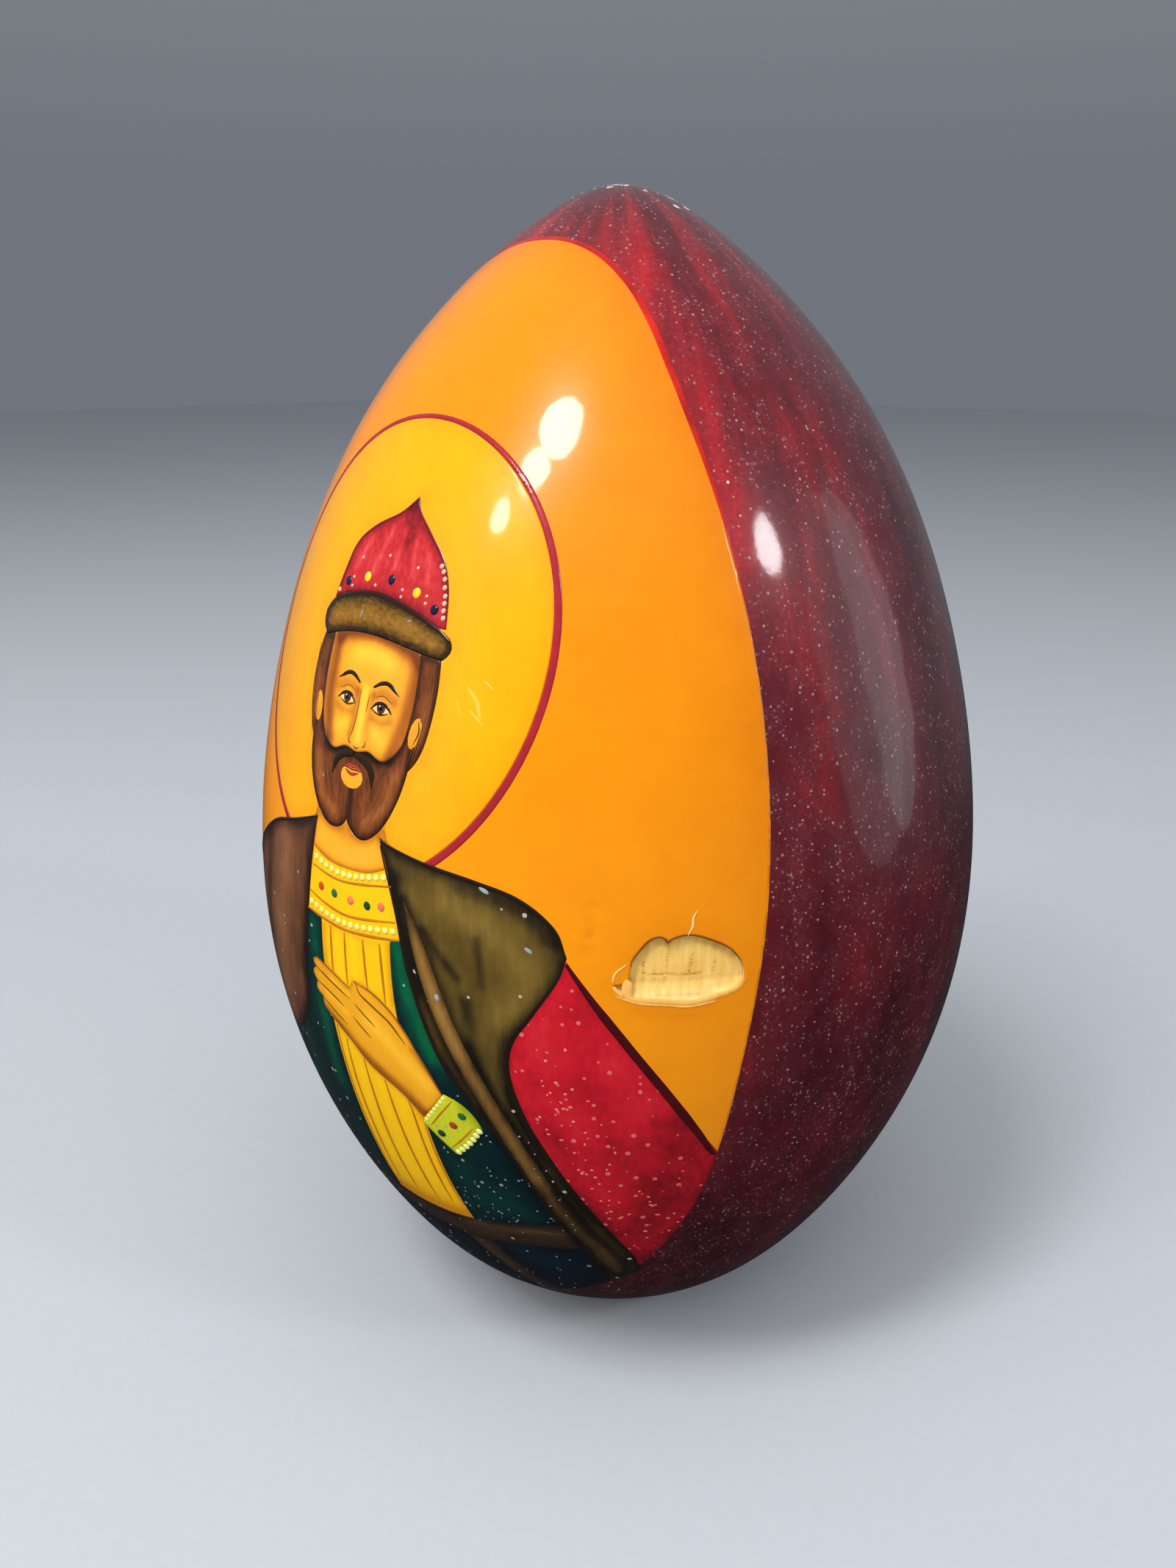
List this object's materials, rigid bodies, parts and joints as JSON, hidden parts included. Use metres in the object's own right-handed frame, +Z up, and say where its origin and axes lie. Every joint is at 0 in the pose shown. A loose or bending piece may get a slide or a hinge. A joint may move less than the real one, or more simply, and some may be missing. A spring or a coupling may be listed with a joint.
{
  "type": "painted wooden easter egg",
  "caption": "Turned wooden egg on a small flat foot, lacquered maroon, with a painted panel of a haloed standing figure.",
  "frame": {"origin": "centre of the flat foot, on the surface that the egg stands on", "axes": "+Z up through the tip, along the long axis of the egg; the painted figure faces -Y; +X is to the viewer's right of the figure"},
  "size_m": [0.0966, 0.0968, 0.15],
  "materials": {
    "wood_core": "bare turned wood",
    "ground_coat": "matt chalk and glue ground",
    "lacquer_coat": "glossy maroon lacquer",
    "orange_panel": "glossy varnished orange paint",
    "halo_ring": "varnished crimson line",
    "halo_disc": "varnished golden yellow paint",
    "hat_crown": "varnished red paint",
    "hat_brim": "varnished dark brown paint",
    "hair": "varnished brown paint",
    "face": "varnished ochre paint",
    "beard": "varnished brown paint",
    "neck": "varnished ochre paint",
    "collar": "varnished golden yellow paint",
    "left_cloak": "varnished red-brown paint",
    "right_cloak": "varnished olive-brown paint",
    "cloak_trim": "varnished orange-brown paint",
    "red_sleeve": "varnished crimson paint",
    "robe_front": "varnished golden yellow paint",
    "hand": "varnished ochre paint",
    "cuff": "varnished lime-yellow paint",
    "belt": "varnished dark brown paint",
    "front_band": "varnished dark brown paint",
    "tunic": "varnished dark green paint",
    "skirt": "varnished dark blue-green paint"
  },
  "bodies": {
    "root": {"wood_core": "wood_core", "ground_coat": "ground_coat", "lacquer_coat": "lacquer_coat", "orange_panel": "orange_panel", "halo_ring": "halo_ring", "halo_disc": "halo_disc", "hat_crown": "hat_crown", "hat_brim": "hat_brim", "hair": "hair", "face": "face", "beard": "beard", "neck": "neck", "collar": "collar", "left_cloak": "left_cloak", "right_cloak": "right_cloak", "cloak_trim": "cloak_trim", "red_sleeve": "red_sleeve", "robe_front": "robe_front", "hand": "hand", "cuff": "cuff", "belt": "belt", "front_band": "front_band", "tunic": "tunic", "skirt": "skirt"}
  },
  "joints": []
}
